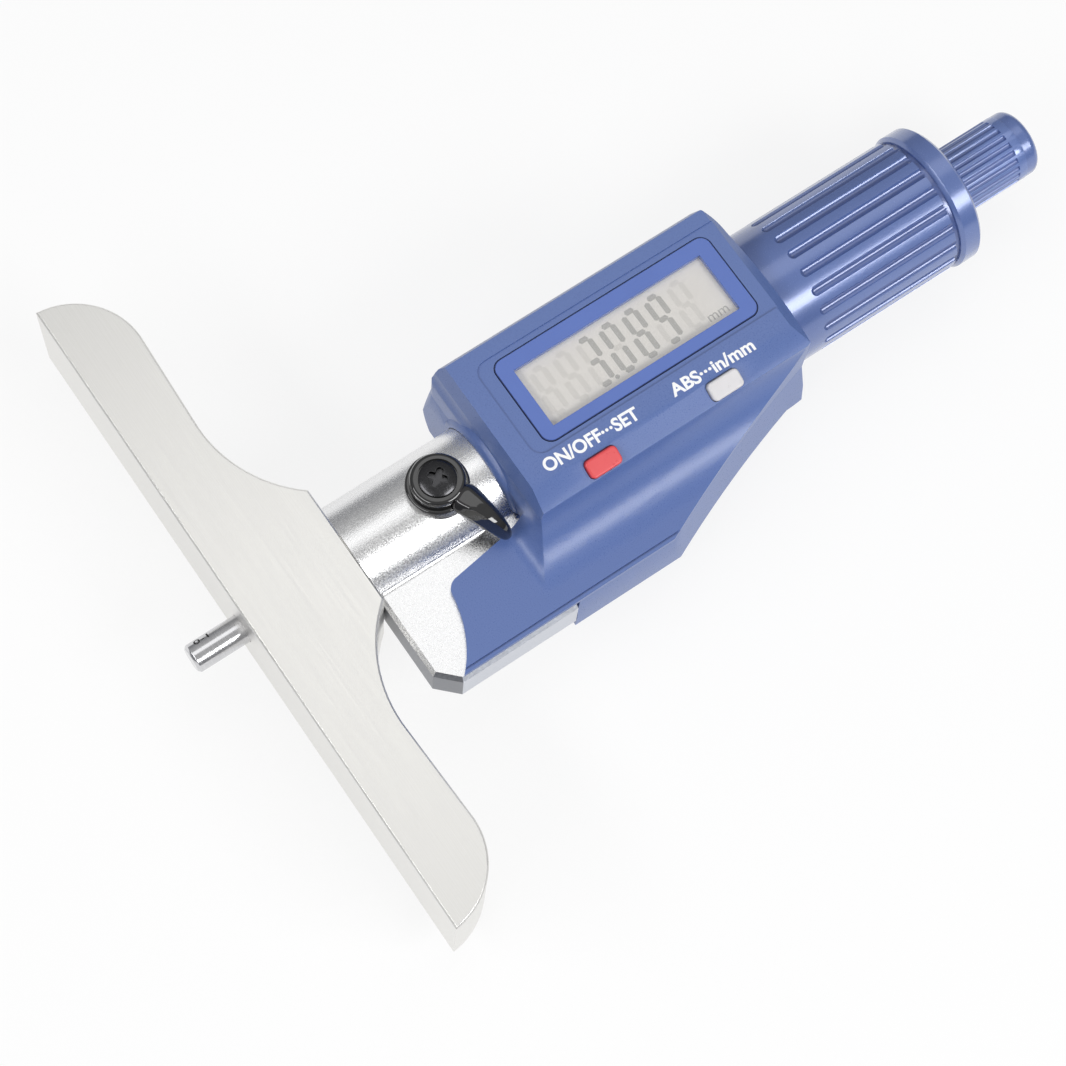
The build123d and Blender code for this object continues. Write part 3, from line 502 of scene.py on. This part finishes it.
def make_window():
    """Printed border with an opening, a dark ring of painted shadow round it standing for the shade in the
    gap, and the clear pane in it.
    """
    low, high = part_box("display_window")
    (x_low, y_low), (x_high, y_high) = Vector((-6.5, 47.85)) * MM, Vector((2.9, 78.55)) * MM
    border_corner, shadow_ring_corner = 1.5, 1.6
    line = Vector((0.11, 0.11, 0)) * MM
    beyond = Vector((0, 0, MM))
    shadow_ring_drop = Vector((0, 0, 0.06)) * MM
    gap, pane_rise, pane_drop = 0.02 * MM, 0.1 * MM, 0.05 * MM
    border = add_box("window_border", low + line, high - line)
    round_upright_edges(border, border_corner)
    # Painted shadow: a dark ring just inside the pocket's rim, where the gap round the border is shaded.
    shadow_ring = add_box("window_gap_shadow", low, high - shadow_ring_drop)
    round_upright_edges(shadow_ring, shadow_ring_corner)
    inner = add_box("inner", low + line - beyond, high - line + beyond)
    round_upright_edges(inner, border_corner)
    cut(shadow_ring, inner)
    smooth(shadow_ring)
    finish_piece(shadow_ring, gap_shadow_ink, "frame")
    cut(border, add_box("opening", (x_low, y_low, low.z - MM), (x_high, y_high, high.z + MM)))
    round_edges(border, 0.05, 2)
    finish_piece(border, border_print, "frame", "display_window")
    pane = add_box(
        "window_pane", (x_low + gap, y_low + gap, low.z + pane_rise),
        (x_high - gap, y_high - gap, high.z - pane_drop),
    )
    round_edges(pane, 0.06, 2)
    finish_piece(pane, materials["clear_window"], "frame")


# Segments of a figure: how far up and to the side its middle is, and if it lies along the reading direction
SEGMENTS = {
    "top": (1.0, 0.0, True), "middle": (0.0, 0.0, True), "bottom": (-1.0, 0.0, True),
    "upper_left": (0.5, -1.0, False), "upper_right": (0.5, 1.0, False),
    "lower_left": (-0.5, -1.0, False), "lower_right": (-0.5, 1.0, False),
}
FIGURES = {
    "3": ("top", "middle", "bottom", "upper_right", "lower_right"),
    "0": ("top", "bottom", "upper_left", "upper_right", "lower_left", "lower_right"),
    "8": tuple(SEGMENTS),
    "9": ("top", "middle", "bottom", "upper_left", "upper_right", "lower_right"),
    " ": (),
}


def make_segment(length, stroke, thickness):
    """Long hexagon lying along Y, from a six-sided disc whose two halves are pulled apart."""
    deselect()
    bpy.ops.mesh.primitive_circle_add(vertices=6, radius=stroke / 2, fill_type="NGON")
    piece = bpy.context.object
    for half in (-1, 1):
        edit(piece, "VERT")
        bpy.ops.object.mode_set(mode="OBJECT")
        for point in piece.data.vertices:
            point.select = point.co.y * half > stroke / 8
        bpy.ops.object.mode_set(mode="EDIT")
        bpy.ops.transform.translate(value=(0, half * (length - stroke) / 2, 0))
    bpy.ops.mesh.select_all(action="SELECT")
    bpy.ops.mesh.extrude_region_move(TRANSFORM_OT_translate={"value": (0, 0, thickness)})
    bpy.ops.object.mode_set(mode="OBJECT")
    recalculate(piece)
    return piece


def make_figures():
    """Seven leaning figures on the display, of which four are lit."""
    lit = "  3089 "
    pitch, first_y, middle_x = 3.77 * MM, 50.45 * MM, -1.8 * MM
    half_height, half_width, stroke = 3.45 * MM, 0.95 * MM, 0.92 * MM
    lean, gap, thickness = 0.13, 0.44 * MM, 0.02 * MM
    point_radius, point_place = 0.34 * MM, 2.45
    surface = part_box("lcd_panel")[1].z
    along = make_segment(2 * half_width - gap, stroke, thickness)
    across = make_segment(half_height - gap, stroke, thickness)
    across.rotation_euler.z = math.pi / 2
    settle(across)
    groups = {True: [], False: []}
    for index, figure in enumerate(lit):
        for name, (up, side, lies_along) in SEGMENTS.items():
            pattern = along if lies_along else across
            piece = bpy.data.objects.new("segment", pattern.data.copy())
            bpy.context.scene.collection.objects.link(piece)
            rise = up * half_height
            reading = first_y + index * pitch + side * half_width + lean * rise
            piece.location = (middle_x - rise, reading, surface)
            groups[name in FIGURES[figure]].append(piece)
    deselect()
    bpy.ops.mesh.primitive_circle_add(vertices=12, radius=point_radius, fill_type="NGON")
    point = bpy.context.object
    edit(point)
    bpy.ops.mesh.select_all(action="SELECT")
    bpy.ops.mesh.extrude_region_move(TRANSFORM_OT_translate={"value": (0, 0, thickness)})
    bpy.ops.object.mode_set(mode="OBJECT")
    recalculate(point)
    point.location = (middle_x + half_height, first_y + point_place * pitch - lean * half_height, surface)
    groups[True].append(point)
    bpy.data.objects.remove(along)
    bpy.data.objects.remove(across)
    finish_piece(join_pieces(groups[True], "lcd_figures"), segment_ink, "frame")
    finish_piece(join_pieces(groups[False], "lcd_idle_figures"), ghost_ink, "frame")


# Lettering

def make_lettering(name, words, start, end, height, surface, ink, bold=0.03):
    """Printed words on a surface facing up, their foot line from start to end: plan points in mm."""
    ink_height = 0.004
    deselect()
    bpy.ops.object.text_add()
    words_object = bpy.context.object
    words_object.data.body = words
    words_object.data.offset = bold
    words_object.data.extrude = ink_height
    bpy.ops.object.convert(target="MESH")
    piece = bpy.context.object
    piece.name = name
    corners = [point.co for point in piece.data.vertices]
    low_x = min(c.x for c in corners)
    wide = max(c.x for c in corners) - low_x
    # The first letters set the height.
    tall = max(c.y for c in corners if c.x - low_x < wide / 4)
    run = Vector(end) - Vector(start)
    piece.data.transform(Matrix.Translation((-low_x, 0, ink_height)))
    piece.scale = (run.length * MM / wide, height * MM / tall, MM)
    piece.rotation_euler.z = math.atan2(run.y, run.x)
    piece.location = (start[0] * MM, start[1] * MM, surface)
    settle(piece)
    recalculate(piece)
    finish_piece(piece, ink, "frame")


def make_all_lettering():
    """Words at the two buttons and the unit on the display."""
    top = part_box("front_housing")[1].z
    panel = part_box("lcd_panel")[1].z
    dots = "\u00b7\u00b7\u00b7"
    for name, words, start, end, height in (
        ("power_words", f"ON/OFF{dots}SET", (8.0, 43.35), (8.45, 58.2), 1.9),
        ("mode_words", f"ABS{dots}in/mm", (8.55, 63.6), (8.95, 76.9), 1.85),
    ):
        make_lettering(name, words, start, end, height, top, white_ink)
    make_lettering("unit_words", "mm", (2.15, 74.4), (2.15, 77.6), 0.95, panel, segment_ink, 0.0)


# Lock: claw lever, its screw, and the screws of the housing

def on_crest(point, points):
    """Whether no point of the claw's same section lies half a millimetre or more above this one."""
    return all(other.z < point.z + MM / 2 for other in points if abs(other.x - point.x) < SAME_PLACE)


def make_lever():
    """Hub with a rounded shoulder, and a claw drawn out of a block section by section, then smoothed."""
    pivot = Vector((0, LOCK_Y, 0)) * MM
    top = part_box("lock_lever")[1].z
    crest_share, crest_crease, foot_crease, claw_turn = 0.46, 0.65, 0.3, 23.5
    hub_radius, hub_height, hub_round, hub_rim = 3.8, 1.7, 0.6, 0.4
    shortest_run, level = 0.3, 0.999
    # Run from the pivot, half width, crest and foot of each section of the claw, in mm
    sections = (
        (2.9, 2.75, 11.0, 9.4), (4.6, 2.75, 11.0, 9.35), (6.6, 2.45, 10.9, 8.2), (8.8, 2.0, 10.3, 6.8),
        (10.7, 1.35, 8.9, 5.3), (11.9, 0.65, 7.1, 4.7),
    )
    (start, half_width, crest, foot), *rest = sections
    first = rest[0][0]
    near, far = Vector((start, -half_width, foot)), Vector((first, half_width, crest))
    claw = add_box("lock_lever_body", near * MM, far * MM)
    edit(claw)
    pick_faces(claw, lambda centre, normal: normal.x > FACING)
    reach = first
    for run, next_half, next_crest, next_foot in rest:
        if run > reach:
            bpy.ops.mesh.extrude_region_move(TRANSFORM_OT_translate={"value": ((run - reach) * MM, 0, 0)})
        middle = (crest + foot) / 2
        ratios = (1, next_half / half_width, (next_crest - next_foot) / (crest - foot))
        bpy.ops.transform.resize(value=ratios, center_override=Vector((run, 0, middle)) * MM)
        bpy.ops.transform.translate(value=(0, 0, ((next_crest + next_foot) / 2 - middle) * MM))
        reach, half_width, crest, foot = run, next_half, next_crest, next_foot
    edit(claw, "VERT")
    bpy.ops.object.mode_set(mode="OBJECT")
    points = [point.co for point in claw.data.vertices]
    for point in claw.data.vertices:
        point.select = on_crest(point.co, points)
    bpy.ops.object.mode_set(mode="EDIT")
    bpy.ops.transform.resize(value=(1, crest_share, 1), center_override=(0, 0, 0))
    for lower, sharpness in ((False, crest_crease), (True, foot_crease)):
        edit(claw, "EDGE")
        bpy.ops.object.mode_set(mode="OBJECT")
        points = [point.co for point in claw.data.vertices]
        for edge in claw.data.edges:
            one, other = (points[index] for index in edge.vertices)
            lengthwise = abs(one.x - other.x) > shortest_run * MM
            crested = one.y < 0 and on_crest(one, points)
            edge.select = lengthwise and crested != lower
        bpy.ops.object.mode_set(mode="EDIT")
        bpy.ops.transform.edge_crease(value=sharpness)
    bpy.ops.object.mode_set(mode="OBJECT")
    apply_modifier(claw, "SUBSURF", levels=3, render_levels=3)
    claw.rotation_euler.z = math.radians(claw_turn)
    claw.location = pivot
    settle(claw)
    deselect()
    hub_middle = pivot + Vector((0, 0, top - hub_height * MM / 2))
    bpy.ops.mesh.primitive_cylinder_add(
        vertices=72, radius=hub_radius * MM, depth=hub_height * MM, location=hub_middle
    )
    hub = bpy.context.object
    settle(hub)
    edit(hub)
    pick_faces(hub, lambda centre, normal: normal.z > FACING)
    bpy.ops.mesh.bevel(offset=hub_round * MM, segments=5, affect="EDGES")
    pick_faces(hub, lambda centre, normal: normal.z > level)
    bpy.ops.mesh.inset(thickness=hub_rim * MM)
    bpy.ops.mesh.extrude_region_move(TRANSFORM_OT_translate={"value": (0, 0, -hub_rim * MM)})
    bpy.ops.object.mode_set(mode="OBJECT")
    apply_modifier(claw, "BOOLEAN", operation="UNION", solver="EXACT", object=hub)
    bpy.data.objects.remove(hub)
    smooth(claw, 40)
    finish_piece(claw, materials["black_lacquer"], "lock", "lock_lever")


def cut_cross(piece, middle, length, width, depth, turn):
    """Cuts a cross recess round a point on a screw's face, half of its depth below; mm and degrees."""
    corner = Vector((length, width, depth)) * MM / 2
    end_round = width * 0.45
    for quarter in (0, 90):
        bar = add_box("bar", -corner, corner)
        round_upright_edges(bar, end_round, 4)
        bar.rotation_euler.z = math.radians(turn + quarter)
        bar.location = Vector(middle) * MM
        settle(bar)
        cut(piece, bar)


def make_lock_screw():
    """Domed screw: a disc whose top is inset and raised in rings, with a shank drawn out below."""
    radius, seat, rim, crown, rings = 2.6, 10.6, 11.0, 11.7, 7
    shank_inset, shank_length, tip_radius = 1.7, 2.6, 0.05
    cross_length, cross_width, cross_depth, cross_turn = 2.9, 0.95, 1.9, 40
    deselect()
    bpy.ops.mesh.primitive_cylinder_add(
        vertices=64, radius=radius * MM, depth=(rim - seat) * MM,
        location=Vector((0, LOCK_Y, (rim + seat) / 2)) * MM,
    )
    head = bpy.context.object
    head.name = "lock_screw_body"
    settle(head)
    edit(head)
    pick_faces(head, lambda centre, normal: normal.z < -FACING)
    bpy.ops.mesh.inset(thickness=shank_inset * MM)
    bpy.ops.mesh.extrude_region_move(TRANSFORM_OT_translate={"value": (0, 0, -shank_length * MM)})
    pick_faces(head, lambda centre, normal: normal.z > FACING)
    step = (radius - tip_radius) / rings
    for ring in range(1, rings + 1):
        lift = (crown - rim) * ((1 - (1 - ring / rings) ** 2) - (1 - (1 - (ring - 1) / rings) ** 2))
        bpy.ops.mesh.inset(thickness=step * MM)
        bpy.ops.transform.translate(value=(0, 0, lift * MM))
    bpy.ops.object.mode_set(mode="OBJECT")
    cut_cross(head, (0, LOCK_Y, crown), cross_length, cross_width, cross_depth, cross_turn)
    round_edges(head, 0.09, 2)
    finish_piece(head, black_oxide, "lock", "lock_screw")


def make_housing_screws():
    """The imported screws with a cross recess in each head, turned as they happened to stop."""
    screws = copy_of("housing_screws", "housing_screws_body")
    cross_length, cross_width, cross_depth = 1.9, 0.5, 1.0
    for x, y, face_z, turn in ((-10.7, 42.0, -8.6, 20), (10.7, 42.0, -8.6, 65), (15.4, 62.0, -4.6, 5)):
        cut_cross(screws, (x, y, face_z), cross_length, cross_width, cross_depth, turn)
    round_edges(screws, 0.08, 2)
    finish_piece(screws, materials["polished_steel"], "frame", "housing_screws")


def make_rod_number():
    """Range number on the rod's flank: flat letters cut into strips and laid on the round."""
    bold, strips, strip = 0.012, 7, 0.1
    flank = math.radians(35)
    start = Vector((0.3, -6.7, 0.2)) * MM
    stand_off, letter_size = 2.2, Vector((2.0, 1.45, 1.0)) * MM
    ink_rise, ink_thickness = 0.012 * MM, 0.01 * MM
    deselect()
    bpy.ops.object.text_add()
    bpy.context.object.data.body = "0-1"
    bpy.context.object.data.offset = bold
    bpy.ops.object.convert(target="MESH")
    piece = bpy.context.object
    piece.name = "rod_number"
    edit(piece)
    for step in range(1, strips):
        bpy.ops.mesh.select_all(action="SELECT")
        bpy.ops.mesh.bisect(plane_co=(0, step * strip, 0), plane_no=(0, 1, 0))
    bpy.ops.object.mode_set(mode="OBJECT")
    outward = Vector((-math.sin(flank), 0, math.cos(flank)))
    reading = Vector((0, 1, 0))
    turn = Matrix((reading, outward.cross(reading), outward)).transposed()
    piece.matrix_world = Matrix.LocRotScale(outward * stand_off * MM + start, turn, letter_size)
    settle(piece)
    apply_modifier(
        piece, "SHRINKWRAP", target=frame["nodes"]["measuring_rod"], wrap_method="NEAREST_SURFACEPOINT",
        wrap_mode="ABOVE_SURFACE", offset=ink_rise,
    )
    apply_modifier(piece, "SOLIDIFY", thickness=ink_thickness, offset=-1.0)
    recalculate(piece)
    finish_piece(piece, etched_ink, "spindle")


make_window()
make_thimble()
make_figures()
make_all_lettering()
make_lever()
make_lock_screw()
make_housing_screws()
make_rod_number()


# Stage, light and camera

def make_floor():
    """Pale paper that the camera and mirror-like surfaces see as nearly white."""
    white_share = 0.82
    bpy.ops.mesh.primitive_plane_add(size=6.0, location=(0, 0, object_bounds()[0][2]))
    floor = bpy.context.object
    floor.name = "floor"
    settle(floor)
    material = bpy.data.materials.new("pale_paper")
    material.use_nodes = True
    tree = material.node_tree
    tree.nodes.clear()
    paper = add_node(tree, "ShaderNodeBsdfDiffuse", {"Color": linear("#F2F2F2")})
    white = add_node(tree, "ShaderNodeEmission", {"Color": linear("#FFFFFF"), "Strength": 1.0})
    path = add_node(tree, "ShaderNodeLightPath")
    seen = add_node(
        tree, "ShaderNodeMath", {"operation": "MAXIMUM"},
        {0: path.outputs["Is Camera Ray"], 1: path.outputs["Is Glossy Ray"]},
    )
    seen = add_node(
        tree, "ShaderNodeMath", {"operation": "MAXIMUM"},
        {0: seen.outputs["Value"], 1: path.outputs["Is Transmission Ray"]},
    )
    share = add_node(
        tree, "ShaderNodeMath", {"operation": "MULTIPLY", 1: white_share}, {0: seen.outputs["Value"]}
    )
    mixed = add_node(
        tree, "ShaderNodeMixShader", {},
        {"Fac": share.outputs["Value"], 1: paper.outputs["BSDF"], 2: white.outputs["Emission"]},
    )
    add_node(tree, "ShaderNodeOutputMaterial", {}, {"Surface": mixed.outputs["Shader"]})
    floor.data.materials.append(material)


def make_world():
    """Soft studio surround: white overhead, greyer towards the horizon."""
    world = bpy.data.worlds.new("studio")
    bpy.context.scene.world = world
    world.use_nodes = True
    tree = world.node_tree
    tree.nodes.clear()
    place = add_node(tree, "ShaderNodeTexCoord").outputs["Generated"]
    height = add_node(tree, "ShaderNodeSeparateXYZ", {}, {"Vector": place}).outputs["Z"]
    ramp = add_node(tree, "ShaderNodeValToRGB", {}, {"Fac": height})
    ramp.color_ramp.elements[0].color = linear("#A6A8AE")
    ramp.color_ramp.elements[1].color = linear("#FFFFFF")
    ramp.color_ramp.elements[1].position = 0.8
    surround = add_node(tree, "ShaderNodeBackground", {"Strength": 0.5}, {"Color": ramp.outputs["Color"]})
    add_node(tree, "ShaderNodeOutputWorld", {}, {"Surface": surround.outputs["Background"]})


def make_lamp(name, place, target, size, power):
    """Rectangular lamp at a place, aimed at a target; metres and watts."""
    lamp = bpy.data.lights.new(name, "AREA")
    lamp.energy = power
    lamp.shape = "RECTANGLE"
    lamp.size, lamp.size_y = size
    holder = bpy.data.objects.new(name, lamp)
    bpy.context.scene.collection.objects.link(holder)
    holder.location = place
    holder.rotation_euler = (Vector(target) - Vector(place)).to_track_quat("-Z", "Y").to_euler()


def make_camera():
    """Camera at the photograph's angle: azimuth, elevation and roll round a point on the spindle's side."""
    azimuth, elevation, roll = (math.radians(angle) for angle in (47.422, 70.858, 8.445))
    target = Vector((10.491, 40.066, 0)) * MM
    distance = 379.307
    level = math.cos(elevation)
    back = Vector((math.sin(azimuth) * level, -math.cos(azimuth) * level, math.sin(elevation)))
    right = (-back).cross(Vector((0, 0, 1))).normalized()
    up = right.cross(-back)
    side = math.cos(roll) * right + math.sin(roll) * up
    top = -math.sin(roll) * right + math.cos(roll) * up
    turn = Matrix((side, top, back)).transposed().to_4x4()
    camera = bpy.data.cameras.new("photo_camera")
    camera.sensor_fit = "HORIZONTAL"
    camera.sensor_width = 36.0
    camera.lens = 94.245
    camera.clip_start = 0.01
    camera.clip_end = 20.0
    holder = bpy.data.objects.new("photo_camera", camera)
    bpy.context.scene.collection.objects.link(holder)
    holder.matrix_world = Matrix.Translation(target + back * distance * MM) @ turn
    bpy.context.scene.camera = holder


make_floor()
make_world()
make_lamp("key", (0.44, 0.23, 0.385), (0, 0.09, 0.005), (0.36, 0.20), 1.8)
make_lamp("overhead", (-0.15, 0.22, 0.60), (-0.15, 0.22, 0), (0.30, 0.5), 0.40)
make_lamp("front", (0.0, -0.42, 0.40), (0, 0.04, 0), (0.6, 0.14), 1.4)
make_camera()
bpy.context.scene.view_settings.view_transform = "Standard"

deselect()
